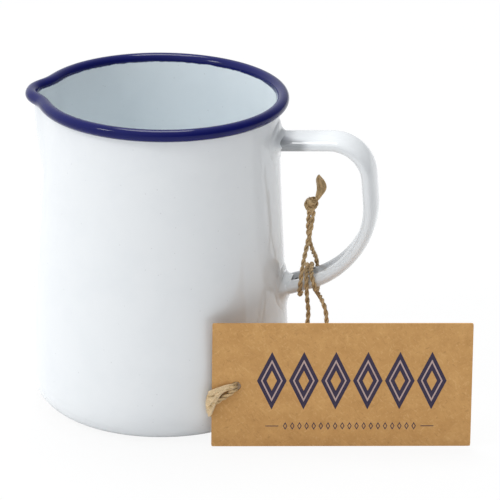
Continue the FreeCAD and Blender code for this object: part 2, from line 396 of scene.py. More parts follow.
def maths(tree, operation, a, b=0.0, clamp=False):
    made = tree.nodes.new("ShaderNodeMath")
    made.operation = operation
    made.use_clamp = clamp
    for socket, value in ((made.inputs[0], a), (made.inputs[1], b)):
        if isinstance(value, bpy.types.NodeSocket):
            tree.links.new(value, socket)
        else:
            socket.default_value = value
    return made.outputs[0]


def makeEnamelGroup():
    # broad waviness, a fine skin and a few specks, all on the piece's own coordinates
    tree, inside, outside = nodeGroup(
        "enamelSkin",
        [("Colour", "NodeSocketColor", (0.8, 0.8, 0.8, 1)), ("Cloud", "NodeSocketColor", (0.7, 0.7, 0.7, 1)),
         ("Specks", "NodeSocketFloat", 0.5), ("Wave", "NodeSocketFloat", 0.5)],
        [("Colour", "NodeSocketColor"), ("Height", "NodeSocketFloat"), ("Roughness", "NodeSocketFloat")])
    link = tree.links.new
    place = node(tree, "ShaderNodeTexCoord").outputs["Object"]
    broad = node(tree, "ShaderNodeTexNoise", Scale=28.0, Detail=1.0, Roughness=0.4)
    fine = node(tree, "ShaderNodeTexNoise", Scale=520.0, Detail=2.0, Roughness=0.5)
    speck = node(tree, "ShaderNodeTexVoronoi", Scale=230.0, Randomness=1.0)
    cloud = node(tree, "ShaderNodeTexNoise", Scale=55.0, Detail=3.0, Roughness=0.6)
    for texture in (broad, fine, speck, cloud):
        link(place, texture.inputs["Vector"])
    clouds = ramp(tree, cloud.outputs["Fac"], [(0.45, (0, 0, 0)), (0.8, (1, 1, 1))])
    base = mixColour(tree, clouds, inside.outputs["Colour"], inside.outputs["Cloud"])
    dot = ramp(tree, speck.outputs["Distance"], [(0.035, (1, 1, 1)), (0.07, (0, 0, 0))])
    dotty = maths(tree, "MULTIPLY", dot, inside.outputs["Specks"])
    link(mixColour(tree, dotty, base, (0.12, 0.12, 0.13)), outside.inputs["Colour"])
    waves = maths(tree, "MULTIPLY", broad.outputs["Fac"], inside.outputs["Wave"])
    skinHeight = maths(tree, "MULTIPLY", fine.outputs["Fac"], 0.06)
    link(maths(tree, "ADD", waves, skinHeight), outside.inputs["Height"])
    rough = maths(tree, "MULTIPLY", cloud.outputs["Fac"], 0.05)
    link(maths(tree, "ADD", rough, 0.045), outside.inputs["Roughness"])
    return tree


def makeFibreGroup():
    # short fibres lying every way: light and dark flecks and their relief
    tree, inside, outside = nodeGroup(
        "fibreField",
        [("Scale", "NodeSocketFloat", 400.0), ("Stretch", "NodeSocketFloat", 6.0)],
        [("Light", "NodeSocketFloat"), ("Dark", "NodeSocketFloat"), ("Height", "NodeSocketFloat")])
    link = tree.links.new
    place = node(tree, "ShaderNodeTexCoord").outputs["Object"]
    found = []
    for turn, seed in ((0.5, 1.3), (1.9, 7.1), (-0.7, 13.7)):
        mapping = node(tree, "ShaderNodeMapping")
        mapping.inputs["Rotation"].default_value = (0.3 * turn, turn, math.radians(tagSettings["azimuth"]))
        mapping.inputs["Location"].default_value = (seed, seed, seed)
        link(place, mapping.inputs["Vector"])
        squeeze = tree.nodes.new("ShaderNodeVectorMath")
        squeeze.operation = "MULTIPLY"
        squeeze.inputs[1].default_value = (0.16, 1.0, 1.0)
        link(mapping.outputs["Vector"], squeeze.inputs[0])
        noise = node(tree, "ShaderNodeTexNoise", Detail=2.0, Roughness=0.6, Distortion=0.4)
        link(squeeze.outputs["Vector"], noise.inputs["Vector"])
        link(inside.outputs["Scale"], noise.inputs["Scale"])
        found.append(noise.outputs["Fac"])
    most = maths(tree, "MAXIMUM", maths(tree, "MAXIMUM", found[0], found[1]), found[2])
    least = maths(tree, "MINIMUM", maths(tree, "MINIMUM", found[0], found[1]), found[2])
    link(ramp(tree, most, [(0.60, (0, 0, 0)), (0.76, (1, 1, 1))]), outside.inputs["Light"])
    link(ramp(tree, least, [(0.22, (1, 1, 1)), (0.38, (0, 0, 0))]), outside.inputs["Dark"])
    link(maths(tree, "SUBTRACT", most, least), outside.inputs["Height"])
    return tree


enamelGroup = makeEnamelGroup()
fibreGroup = makeFibreGroup()


def newMaterial(name):
    material = bpy.data.materials.new(name)
    material.use_nodes = True
    tree = material.node_tree
    shader = next(n for n in tree.nodes if n.type == "BSDF_PRINCIPLED")
    return material, tree, shader


def useGroup(tree, group, **values):
    made = tree.nodes.new("ShaderNodeGroup")
    made.node_tree = group
    for key, value in values.items():
        made.inputs[key].default_value = value
    return made


def bump(tree, shader, height, strength, distance):
    made = node(tree, "ShaderNodeBump", Strength=strength, Distance=distance)
    tree.links.new(height, made.inputs["Height"])
    tree.links.new(made.outputs["Normal"], shader.inputs["Normal"])


enamelSettings = {
    "white": (0.845, 0.862, 0.874, 1),
    "whiteCloud": (0.815, 0.836, 0.852, 1),
    # painted light: lifts and cools the white on the inside faces
    "insidePaintedLight": (1.04, 1.085, 1.10),
    "blue": (0.0016, 0.0036, 0.098, 1),
    "blueCloud": (0.0012, 0.0028, 0.075, 1),
    "paleLine": (0.42, 0.47, 0.66),
    # thin ground coat by the joints, and painted shade on the lower arm's inner face
    "thinGreyAndShade": (0.115, 0.122, 0.135),
    "edgeHeight": 139.75 * mm,
    "edgeRagged": 0.25 * mm,
    "edgeSoft": 0.12 * mm,
    "lineWidth": 0.4 * mm,
}


def smoothStep(tree, value, low, high):
    made = node(tree, "ShaderNodeMapRange")
    made.interpolation_type = "SMOOTHSTEP"
    made.inputs["From Min"].default_value = low
    made.inputs["From Max"].default_value = high
    tree.links.new(value, made.inputs["Value"])
    return made.outputs["Result"]


def objectPlace(tree):
    # Object coordinates, whole and apart
    place = node(tree, "ShaderNodeTexCoord").outputs["Object"]
    apart = node(tree, "ShaderNodeSeparateXYZ")
    tree.links.new(place, apart.inputs[0])
    return place, apart.outputs


def enamelBase(name, colour, cloud, specks, ior=1.5):
    material, tree, shader = newMaterial(name)
    skin = useGroup(tree, enamelGroup, Colour=colour, Cloud=cloud, Specks=specks, Wave=1.0)
    tree.links.new(skin.outputs["Colour"], shader.inputs["Base Color"])
    tree.links.new(skin.outputs["Roughness"], shader.inputs["Roughness"])
    shader.inputs["IOR"].default_value = ior
    bump(tree, shader, skin.outputs["Height"], 0.16, 0.35 * mm)
    return material, tree, shader, skin.outputs["Colour"]


def bodyEnamel():
    # white all over, with painted light inside (cooler and lighter, standing in for the cool light there),
    # with the ragged edge of the blue at the lip
    s = enamelSettings
    material, tree, shader, white = enamelBase("whiteEnamelBody", s["white"], s["whiteCloud"], 0.2)
    place, (_, _, z) = objectPlace(tree)
    flat = node(tree, "ShaderNodeVectorMath")
    flat.operation = "MULTIPLY"
    flat.inputs[1].default_value = (1, 1, 0)
    tree.links.new(place, flat.inputs[0])
    facing = node(tree, "ShaderNodeVectorMath")
    facing.operation = "DOT_PRODUCT"
    tree.links.new(flat.outputs["Vector"], facing.inputs[0])
    tree.links.new(node(tree, "ShaderNodeTexCoord").outputs["Normal"], facing.inputs[1])
    inside = smoothStep(tree, facing.outputs["Value"], 0.004, -0.004)
    # painted light: inside faces are painted lighter and bluer than the outside
    colour = mixColour(tree, inside, white, s["insidePaintedLight"], "MULTIPLY")
    ragged = node(tree, "ShaderNodeTexNoise", Scale=260.0, Detail=3.0, Roughness=0.65)
    tree.links.new(place, ragged.inputs["Vector"])
    swing = maths(tree, "SUBTRACT", ragged.outputs["Fac"], 0.5)
    swing = maths(tree, "MULTIPLY", swing, s["edgeRagged"] * 4)
    above = maths(tree, "SUBTRACT", maths(tree, "ADD", z, swing), s["edgeHeight"])
    blue = maths(tree, "MULTIPLY", above, 1 / s["edgeSoft"], clamp=True)
    apart = maths(tree, "MULTIPLY", maths(tree, "ABSOLUTE", above), 1 / s["lineWidth"])
    near = maths(tree, "SUBTRACT", 1.0, apart, clamp=True)
    colour = mixColour(tree, maths(tree, "MULTIPLY", near, 0.5), colour, s["paleLine"])
    tree.links.new(mixColour(tree, blue, colour, s["blue"]), shader.inputs["Base Color"])
    return material


def handleEnamel():
    # white, with the grey ground coat showing through where the enamel is thin by the joints; on the lower
    # arm's inner face beyond the seam the grey is partly thin enamel and partly painted shade (the shaded
    # wall mirrored there)
    s = enamelSettings
    material, tree, shader, white = enamelBase("whiteEnamelHandle", s["white"], s["whiteCloud"], 0.2)
    place, (x, y, z) = objectPlace(tree)
    stain = node(tree, "ShaderNodeTexNoise", Scale=90.0, Detail=2.0, Roughness=0.5)
    tree.links.new(place, stain.inputs["Vector"])
    wander = maths(tree, "MULTIPLY", maths(tree, "SUBTRACT", stain.outputs["Fac"], 0.5), 9 * mm)
    along = maths(tree, "ADD", x, wander)
    high = smoothStep(tree, z, 105 * mm, 112 * mm)
    upper = maths(tree, "MULTIPLY", smoothStep(tree, along, 68 * mm, 60 * mm), high)
    upper = maths(tree, "MULTIPLY", upper, smoothStep(tree, y, 3 * mm, -2 * mm))
    upper = maths(tree, "MULTIPLY", upper, smoothStep(tree, z, 127.2 * mm, 126.2 * mm))
    low = smoothStep(tree, z, 82 * mm, 70 * mm)
    line = maths(tree, "MULTIPLY", maths(tree, "SUBTRACT", x, 65 * mm), 0.339)
    overArm = maths(tree, "SUBTRACT", maths(tree, "SUBTRACT", z, line), 61.6 * mm)
    # lower arm, far half of the inner face: partly thin enamel, partly painted shade
    lower = maths(tree, "MULTIPLY", smoothStep(tree, along, 98 * mm, 62 * mm), low)
    lower = maths(tree, "MULTIPLY", lower, smoothStep(tree, y, -0.3 * mm, 0.9 * mm))
    lower = maths(tree, "MULTIPLY", lower, smoothStep(tree, overArm, 0.2 * mm, 1.2 * mm))
    upper = maths(tree, "MULTIPLY", upper, 0.62)
    # thin enamel by the upper joint; painted shade mixed in on the lower arm
    thin = maths(tree, "ADD", upper, maths(tree, "MULTIPLY", lower, 0.66), clamp=True)
    tree.links.new(mixColour(tree, thin, white, s["thinGreyAndShade"]), shader.inputs["Base Color"])
    return material


def twineMaterial(name, pale):
    material, tree, shader = newMaterial(name)
    link = tree.links.new
    place = node(tree, "ShaderNodeTexCoord").outputs["Object"]
    tone = node(tree, "ShaderNodeTexNoise", Scale=420.0, Detail=3.0, Roughness=0.7)
    long = node(tree, "ShaderNodeTexNoise", Scale=2600.0, Detail=2.0, Roughness=0.6)
    link(place, tone.inputs["Vector"])
    link(place, long.inputs["Vector"])
    colour = ramp(tree, tone.outputs["Fac"], [(0.28, (0.34, 0.215, 0.085)), (0.43, (0.53, 0.36, 0.165)),
                                              (0.58, (0.70, 0.48, 0.235)), (0.76, (0.90, 0.68, 0.40))])
    colour = mixColour(tree, pale, colour, (0.94, 0.74, 0.47))
    # painted shade: darker towards the twine's middle, in the crevices between plies and strands
    outward = node(tree, "ShaderNodeAttribute", attribute_name="outward")
    creviceShade = ramp(tree, outward.outputs["Fac"], [(0.38, (0.42, 0.34, 0.25)), (0.62, (0.80, 0.74, 0.65)),
                                                  (0.85, (1.0, 1.0, 1.0))])
    colour = mixColour(tree, 1.0, colour, creviceShade, "MULTIPLY")
    fine = ramp(tree, long.outputs["Fac"], [(0.3, (0.72, 0.72, 0.72)), (0.7, (1.12, 1.12, 1.12))])
    link(mixColour(tree, 1.0, colour, fine, "MULTIPLY"), shader.inputs["Base Color"])
    shader.inputs["Roughness"].default_value = 0.82
    shader.inputs["Sheen Weight"].default_value = 0.25
    shader.inputs["Sheen Roughness"].default_value = 0.5
    shader.inputs["Subsurface Weight"].default_value = 0.0
    bump(tree, shader, long.outputs["Fac"], 0.5, 0.06 * mm)
    return material


def cardMaterial():
    material, tree, shader = newMaterial("kraftCard")
    link = tree.links.new
    place = node(tree, "ShaderNodeTexCoord").outputs["Object"]
    fibre = useGroup(tree, fibreGroup, Scale=1150.0)
    mottle = node(tree, "ShaderNodeTexNoise", Scale=130.0, Detail=4.0, Roughness=0.65)
    link(place, mottle.inputs["Vector"])
    colour = ramp(tree, mottle.outputs["Fac"], [(0.3, (0.555, 0.295, 0.102)), (0.7, (0.655, 0.368, 0.138))])
    pale = maths(tree, "MULTIPLY", fibre.outputs["Light"], 0.34)
    colour = mixColour(tree, pale, colour, (0.84, 0.56, 0.27))
    deep = maths(tree, "MULTIPLY", fibre.outputs["Dark"], 0.45)
    colour = mixColour(tree, deep, colour, (0.36, 0.175, 0.062))
    link(colour, shader.inputs["Base Color"])
    shader.inputs["Roughness"].default_value = 0.88
    shader.inputs["Specular IOR Level"].default_value = 0.25
    bump(tree, shader, fibre.outputs["Height"], 0.35, 0.12 * mm)
    return material


def inkMaterial(name, colour, thin):
    material, tree, shader = newMaterial(name)
    link = tree.links.new
    fibre = useGroup(tree, fibreGroup, Scale=1150.0)
    base = mixColour(tree, maths(tree, "MULTIPLY", fibre.outputs["Light"], 0.35), colour, thin)
    link(base, shader.inputs["Base Color"])
    shader.inputs["Roughness"].default_value = 0.62
    bump(tree, shader, fibre.outputs["Height"], 0.3, 0.1 * mm)
    return material


def steelMaterial(name):
    material, tree, shader = newMaterial(name)
    place = node(tree, "ShaderNodeTexCoord").outputs["Object"]
    scale = node(tree, "ShaderNodeTexNoise", Scale=300.0, Detail=4.0)
    tree.links.new(place, scale.inputs["Vector"])
    tone = ramp(tree, scale.outputs["Fac"], [(0.3, (0.03, 0.032, 0.036)), (0.7, (0.09, 0.09, 0.095))])
    tree.links.new(tone, shader.inputs["Base Color"])
    shader.inputs["Metallic"].default_value = 0.6
    shader.inputs["Roughness"].default_value = 0.5
    return material


enamel = enamelSettings
whiteEnamel = bodyEnamel()
strapEnamel = handleEnamel()
blueEnamel, _, blueShader, _ = enamelBase("blueEnamel", enamel["blue"], enamel["blueCloud"], 0.0, 1.42)
blueShader.inputs["Specular IOR Level"].default_value = 0.34
jute = twineMaterial("twineJute", 0.10)
# painted light: a paler copy of the twine, used on the loop's opened fan
paintedLightJute = twineMaterial("paintedLightJute", 0.62)
kraft = cardMaterial()
indigoInk = inkMaterial("indigoInk", (0.026, 0.016, 0.052), (0.10, 0.055, 0.055))
paleInk = inkMaterial("paleInk", (0.50, 0.36, 0.33), (0.55, 0.36, 0.22))
darkSteel = steelMaterial("darkSteel")
darkHole = steelMaterial("ventShadow")
print("materials made")


# The twine pieces

chance = random.Random(7)


def twinePiece(name, route, body, replaced, fullness=1.0):
    t = twineSettings
    line = routeLine(route)
    even, strands = laidStrands(line, fullness)
    reach = t["diameter"] / 2 * fullness * mm
    loose = hairs(even, chance, reach)
    obj = tubes(name, [(strands, t["strandRadius"] * fullness * mm, 0.0),
                       (loose, t["hairRadius"] * mm, 0.7)], jute)
    markDepth(obj, even, reach)
    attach(obj, body)
    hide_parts(replaced)
    length = sum((b - a).length for a, b in zip(line, line[1:]))
    print(name, "length %.1f mm" % (length / mm))
    return obj, line, length


def twineKnot():
    t = twineSettings
    line = routeLine(knotRoute)
    strands, evenLine = [], None
    for shift in (-0.55, 0.55):
        evenLine, some = laidStrands(line, 0.92, Vector((shift * 0.4, shift * 0.6, shift * 0.7)) * mm)
        strands += some
    loose = hairs(evenLine, chance, t["diameter"] / 2 * mm)
    core = [point(65.4 + 0.3 * math.sin(k), 0.2 * math.cos(k), 93.4 + 0.16 * k) for k in range(28)]
    obj = tubes("twineKnot", [(strands, t["strandRadius"] * 0.95 * mm, 0.0), ([core], 1.7 * mm, 0.0),
                              (loose, t["hairRadius"] * mm, 0.7)], jute)
    markDepth(obj, evenLine, 1.15 * mm)
    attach(obj, "root")
    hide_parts("twine_knot")
    return obj


tailSettings = {
    "fibres": 120,
    "spine": [(67.9, 98.2), (69.0, 100.6), (69.9, 103.0), (69.7, 105.4), (68.8, 107.8), (68.5, 109.6)],
    "halfWidth": [0.85, 1.4, 2.0, 2.15, 1.6, 0.12],
    "depthShare": 0.42,
    "radius": 0.16,
}


def twineTail():
    # the frayed end: fibres that spread to a leaf and come to a point
    s = tailSettings
    fibres = []
    for i in range(s["fibres"]):
        across = chance.uniform(-1, 1)
        deep = chance.uniform(-1, 1) * math.sqrt(max(0.0, 1 - across * across))
        ends = chance.uniform(0.72, 1.0) if chance.random() < 0.5 else 1.0
        wander = chance.uniform(-0.25, 0.25)
        twist = chance.uniform(-0.6, 0.6)
        route = []
        for k, ((x, z), half) in enumerate(zip(s["spine"], s["halfWidth"])):
            share = k / (len(s["spine"]) - 1)
            if share > ends:
                break
            a = twist * share
            u = across * math.cos(a) - deep * math.sin(a)
            v = across * math.sin(a) + deep * math.cos(a)
            route.append(point(x + half * u + wander * share * (1 - share) * 2,
                               half * v * s["depthShare"], z))
        fibres.append(evenPoints(routeLine(route), 0.7 * mm))
    obj = tubes("twineTail", [(fibres, s["radius"] * mm, 0.55)], jute)
    markDepth(obj, [point(x, 0, z) for x, z in s["spine"]], 0.9 * mm)
    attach(obj, "root")
    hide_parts("twine_tail")
    return obj


fanSettings = {
    "plies": 11,
    "fibres": 6,
    "top": 25.8,
    "bottom": 15.4,
    "bulge": (1.2, 2.4),
    "plyReach": 0.46,
    "lay": 8.0,
    "radius": 0.25,
}


def loopFan():
    # the loop's twine opened out where it goes round the card's edge
    s = fanSettings
    strands, loose, middles = [], [], []
    for k in range(s["plies"]):
        share = k / (s["plies"] - 1)
        edge = s["top"] + (s["bottom"] - s["top"]) * share + chance.uniform(-0.4, 0.4)
        bulge = s["bulge"][0] + (s["bulge"][1] - s["bulge"][0]) * math.sin(math.pi * share)
        front = chance.uniform(1.25, 2.0)
        hole = 28.6 + chance.uniform(-0.85, 0.85)
        rise = hole - edge
        line = routeLine([tagPoint(3.2, -1.3, edge - 1.2), tagPoint(-0.4 * bulge, -1.4, edge - 0.6),
                          tagPoint(-bulge, 0.2, edge), tagPoint(-0.5 * bulge, front, edge + 0.7),
                          tagPoint(2.6, front + 0.4, edge + rise * 0.74), tagPoint(6.3, front, edge + rise),
                          tagPoint(10.0, 0.9, hole), tagPoint(10.4, -0.9, hole)])
        even = evenPoints(line, 0.5 * mm)
        middles += even
        for j in range(s["fibres"]):
            turn = 2 * math.pi * (j + share) / s["fibres"]
            strands.append(around(even, s["plyReach"] * mm, s["lay"] * mm, turn))
        loose += hairs(even, chance, 0.7 * mm)
    # the fan takes the paler twine copy: painted light
    obj = tubes("loopFan", [(strands, s["radius"] * mm, 0.0),
                            (loose, twineSettings["hairRadius"] * mm, 0.7)], paintedLightJute)
    markDepth(obj, middles, 0.66 * mm)
    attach(obj, "tag")
    return obj


fanPiece = loopFan()
knotPiece = twineKnot()
tailPiece = twineTail()
leftTwine, leftLine, leftLength = twinePiece("twineLeft", leftRoute, "root", "twine_left", 1.12)
rightTwine, rightLine, rightLength = twinePiece("twineRight", rightRoute, "root", "twine_right", 1.12)
tagLoop, loopLine, loopLength = twinePiece("tagLoop", loopRoute, "tag", "tag_loop", 1.15)
print("twine laid")


# CAD nodes that stay, with their enamel

def paint(names, material):
    for name in names:
        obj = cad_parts[name]
        obj.data.materials.clear()
        obj.data.materials.append(material)


paint(["body_shell"], whiteEnamel)
paint(["rim_bead"], blueEnamel)
paint(["weld_spots"], darkSteel)


# Joints of the handle: a soft pad on the wall that flows up into the strap

jointSettings = {
    "corners": 64,
    "upper": {"wallX": 50.6, "height": 123.62, "slope": 3.86, "below": 1.0, "point": 0.0},
    "lower": {"wallX": 54.5, "height": 57.98, "slope": 18.72, "below": 1.12, "point": 0.16},
    # distance from the wall along the strap, half width, half height
    "collar": [(4.3, 9.30, 2.65), (3.6, 9.62, 3.02), (2.9, 9.85, 3.28), (2.1, 10.15, 3.64),
               (1.5, 10.6, 4.15), (1.05, 11.1, 4.85)],
    # height over the wall, half width, half height
    "pad": [(0.80, 11.7, 5.9), (0.74, 12.3, 7.0), (0.40, 13.0, 8.2), (-0.15, 13.9, 9.4)],
}


def jointPiece(name, spec, replaced):
    s = jointSettings
    count = s["corners"]
    centre = Vector((spec["wallX"], 0, spec["height"])) * mm
    slope = math.radians(spec["slope"])
    rings = s["collar"] + s["pad"]
    first = rings[0]
    deselectAll()
    bpy.ops.mesh.primitive_circle_add(vertices=count, radius=1, rotation=(0, math.radians(90), 0))
    obj = bpy.context.object
    obj.name = name
    settle(obj)
    bpy.ops.object.mode_set(mode="EDIT")
    bpy.ops.mesh.select_all(action="SELECT")
    bpy.ops.transform.resize(value=(1, first[1] * mm, first[2] * mm), center_override=(0, 0, 0))
    bpy.ops.transform.translate(value=(first[0] * mm, 0, 0))
    for before, after in zip(rings, rings[1:]):
        onWall = after in s["pad"]
        bpy.ops.mesh.extrude_edges_move()
        stay = 0.0 if not onWall else 0.5
        move = (stay if onWall else after[0]) - (before[0] if before not in s["pad"] else 0.5)
        bpy.ops.transform.translate(value=(move * mm, 0, 0))
        bpy.ops.transform.resize(value=(1, after[1] / before[1], after[2] / before[2]),
                                 center_override=(0, 0, 0))
    # the collar leans with the strap; the pad stands upright on the wall
    collarCount = len(s["collar"]) * count
    pickVerts(obj, lambda v: v.index < collarCount)
    mesh = bmesh.from_edit_mesh(obj.data)
    lean = Matrix.Rotation(-slope, 4, "Y")
    for v in mesh.verts:
        if v.select:
            v.co = lean @ v.co
    bmesh.update_edit_mesh(obj.data)
    if spec["below"] != 1.0:
        pickVerts(obj, lambda v: v.index >= collarCount and v.co.z < 0)
        bpy.ops.transform.resize(value=(1, 1, spec["below"]), center_override=(0, 0, 0))
        for width in (9, 6, 3):
            pickVerts(obj, lambda v: v.index >= collarCount and v.co.z < 0 and abs(v.co.y) < width * mm)
            bpy.ops.transform.resize(value=(1, 1, 1 + spec["point"] / 3), center_override=(0, 0, 0))
        pickVerts(obj, lambda v: v.index >= collarCount + count and v.co.z < 0)
        bpy.ops.mesh.vertices_smooth(factor=0.5, repeat=2)
    bpy.ops.mesh.select_all(action="SELECT")
    bpy.ops.transform.translate(value=centre)
    pickVerts(obj, lambda v: v.index >= collarCount)
    bpy.ops.transform.translate(value=(20 * mm, 0, 0))
    bpy.ops.object.mode_set(mode="OBJECT")
    group = obj.vertex_groups.new(name="onWall")
    group.add(list(range(collarCount, len(obj.data.vertices))), 1.0, "REPLACE")
    wrap = obj.modifiers.new("wrap", "SHRINKWRAP")
    wrap.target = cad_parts["body_shell"]
    wrap.wrap_method = "PROJECT"
    wrap.use_project_x = True
    wrap.use_negative_direction = True
    wrap.use_positive_direction = False
    wrap.vertex_group = "onWall"
    applyAll(obj)
    bpy.ops.object.mode_set(mode="EDIT")
    for k, (lift, _, _) in enumerate(s["pad"]):
        start = collarCount + k * count
        pickVerts(obj, lambda v: start <= v.index < start + count)
        bpy.ops.transform.translate(value=(lift * mm, 0, 0))
    bpy.ops.mesh.select_all(action="SELECT")
    bpy.ops.mesh.normals_make_consistent(inside=False)
    bpy.ops.object.mode_set(mode="OBJECT")
    soften = obj.modifiers.new("soften", "SUBSURF")
    soften.levels = soften.render_levels = 2
    applyAll(obj)
    obj.data.materials.append(whiteEnamel)
    smoothShade(obj, 60)
    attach(obj, "root")
    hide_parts(replaced)
    return obj


handleSettings = {
    "line": [(46.0, 123.3), (89.0, 126.2), (92.5, 85.9), (76.1, 65.3), (46.0, 55.1)],
    "bends": [16.0, 36.0, 38.0],
    "bendSteps": [44, 44, 44],
    "startX": 50.2,
    "endX": 54.1,
    "width": 19.4,
    "depth": 6.2,
    "grooveDepth": 1.7,
    "grooveWidth": 3.4,
    "corners": 96,
    "vent": {"x": 59.7, "radius": 0.95, "height": 59.4, "depth": 4.0},
}


def strapOutline(s, turn):
    # the strap's section: a full oval with the seam's groove on its inner side
    across = s["width"] / 2 * math.copysign(abs(math.cos(turn)) ** 0.8, math.cos(turn))
    out = s["depth"] / 2 * math.copysign(abs(math.sin(turn)) ** 0.8, math.sin(turn))
    if out < 0:
        out += s["grooveDepth"] * math.exp(-((across / s["grooveWidth"]) ** 2))
    return across * mm, out * mm


def handlePiece():
    s = handleSettings
    line = [Vector((x, 0, z)) * mm for x, z in s["line"]]
    runs = [(b - a).normalized() for a, b in zip(line, line[1:])]
    start = line[0] + runs[0] * ((s["startX"] * mm - line[0].x) / runs[0].x)
    end = line[-1] - runs[-1] * ((s["endX"] * mm - line[-1].x) / -runs[-1].x)
    deselectAll()
    bpy.ops.mesh.primitive_circle_add(vertices=s["corners"], radius=1)
    obj = bpy.context.object
    obj.name = "handleStrap"
    outward = Vector((-runs[0].z, 0, runs[0].x))
    for i, v in enumerate(obj.data.vertices):
        across, out = strapOutline(s, 2 * math.pi * (i + 0.5) / s["corners"])
        v.co = start + Vector((0, across, 0)) + outward * out
    bpy.ops.object.mode_set(mode="EDIT")
    bpy.ops.mesh.select_all(action="SELECT")
    here = start
    for k, radius in enumerate(s["bends"]):
        before, after = runs[k], runs[k + 1]
        angle = before.angle(after)
        reach = radius * mm * math.tan(angle / 2)
        first = line[k + 1] - before * reach
        inward = Vector((before.z, 0, -before.x))
        centre = first + inward * radius * mm
        bpy.ops.mesh.extrude_edges_move(TRANSFORM_OT_translate={"value": first - here})
        bpy.ops.mesh.spin(steps=s["bendSteps"][k], angle=-angle, center=centre, axis=(0, 1, 0))
        here = line[k + 1] + after * reach
    bpy.ops.mesh.extrude_edges_move(TRANSFORM_OT_translate={"value": end - here})
    mesh = bmesh.from_edit_mesh(obj.data)
    last = [v.co for v in mesh.verts if v.select]
    drift = (sum(last, Vector()) / len(last) - end).length
    print("handle swept, end off by %.2f mm" % (drift / mm))
    bpy.ops.mesh.edge_face_add()
    pickVerts(obj, lambda v: v.index < s["corners"])
    bpy.ops.mesh.edge_face_add()
    bpy.ops.mesh.select_all(action="SELECT")
    bpy.ops.mesh.remove_doubles(threshold=0.00001)
    bpy.ops.mesh.normals_make_consistent(inside=False)
    bpy.ops.object.mode_set(mode="OBJECT")
    obj.data.materials.append(strapEnamel)

    deselectAll()
    vent = s["vent"]
    middle = (vent["x"] * mm, 0, (vent["height"] + vent["depth"] / 2) * mm)
    bpy.ops.mesh.primitive_cylinder_add(vertices=24, radius=vent["radius"] * mm, depth=vent["depth"] * mm,
                                        location=middle)
    punch = bpy.context.object
    punch.data.materials.append(darkHole)
    bore = obj.modifiers.new("vent", "BOOLEAN")
    bore.object = punch
    bore.operation = "DIFFERENCE"
    bore.solver = "EXACT"
    bore.material_mode = "TRANSFER"
    applyAll(obj)
    bpy.data.objects.remove(punch)
    smoothShade(obj, 35)
    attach(obj, "root")
    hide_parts("handle_strap")
    return obj


handlePiece()
jointPiece("upperJoint", jointSettings["upper"], "upper_saddle")
jointPiece("lowerJoint", jointSettings["lower"], "lower_saddle")
print("handle joints shaped")


# Tag

printSettings = {
    "left": 18.7,
    "right": 100.6,
    "middle": 31.15,
    "halfHeight": 13.2,
    "count": 6,
    "halfWidth": 6.35,
    "bands": (1.55, 0.62, 1.55),
    "lift": 0.03,
    "smallCount": 19,
    "smallHeight": 10.35,
    "smallHalf": (0.95, 1.75),
    "smallBand": 0.34,
    "smallLeft": 31.5,
    "smallRight": 86.5,
    "rules": [(23.0, 28.6), (89.4, 95.0)],
    "ruleHalf": 0.16,
}


def placeOnTag(obj):
    # from the tag's own frame, along in X and back in Y, to its place
    takeUp(obj)
    hx, hy = tagSettings["hinge"]
    obj.matrix_world = (Matrix.Translation(Vector((hx, hy, 0)) * mm)
                        @ Matrix.Rotation(math.radians(tagSettings["azimuth"]), 4, "Z"))
    bpy.ops.object.transform_apply(location=True, rotation=True, scale=True)


def tagCard():
    s = tagSettings
    deselectAll()
    bpy.ops.mesh.primitive_grid_add(x_subdivisions=112, y_subdivisions=56, size=1,
                                    rotation=(math.radians(90), 0, 0))
    obj = bpy.context.object
    obj.name = "tagCard"
    settle(obj)
    bpy.ops.object.mode_set(mode="EDIT")
    bpy.ops.mesh.select_all(action="SELECT")
    bpy.ops.transform.resize(value=(s["length"] * mm, 1, s["height"] * mm), center_override=(0, 0, 0))
    bpy.ops.transform.translate(value=(s["length"] / 2 * mm, -s["thickness"] / 2 * mm,
                                       (s["groundGap"] + s["height"] / 2) * mm))
    cut = s["cornerCut"] * mm
    for x, sx in ((0, 1), (s["length"], -1)):
        for z, sz in ((s["groundGap"], 1), (s["groundGap"] + s["height"], -1)):
            pickVerts(obj, lambda v: abs(v.co.x - x * mm) < 1e-5 and abs(v.co.z - z * mm) < 1e-5)
            bpy.ops.transform.translate(value=(cut * sx, 0, cut * sz))
    bpy.ops.object.mode_set(mode="OBJECT")

    deselectAll()
    holeX, holeZ = s["hole"]
    bpy.ops.mesh.primitive_cylinder_add(vertices=40, radius=s["holeRadius"] * mm, depth=6 * mm,
                                        location=(holeX * mm, 0, holeZ * mm),
                                        rotation=(math.radians(90), 0, 0))
    punch = bpy.context.object
    solid = obj.modifiers.new("thickness", "SOLIDIFY")
    solid.thickness = s["thickness"] * mm
    solid.offset = 1 if obj.data.polygons[0].normal.y > 0 else -1
    bore = obj.modifiers.new("bore", "BOOLEAN")
    bore.object = punch
    bore.operation = "DIFFERENCE"
    bore.solver = "EXACT"
    applyAll(obj)
    bpy.data.objects.remove(punch)
    obj.data.materials.clear()
    obj.data.materials.append(kraft)
    placeOnTag(obj)
    smoothShade(obj, 30)
    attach(obj, "tag")
    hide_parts("tag_card")
    return obj


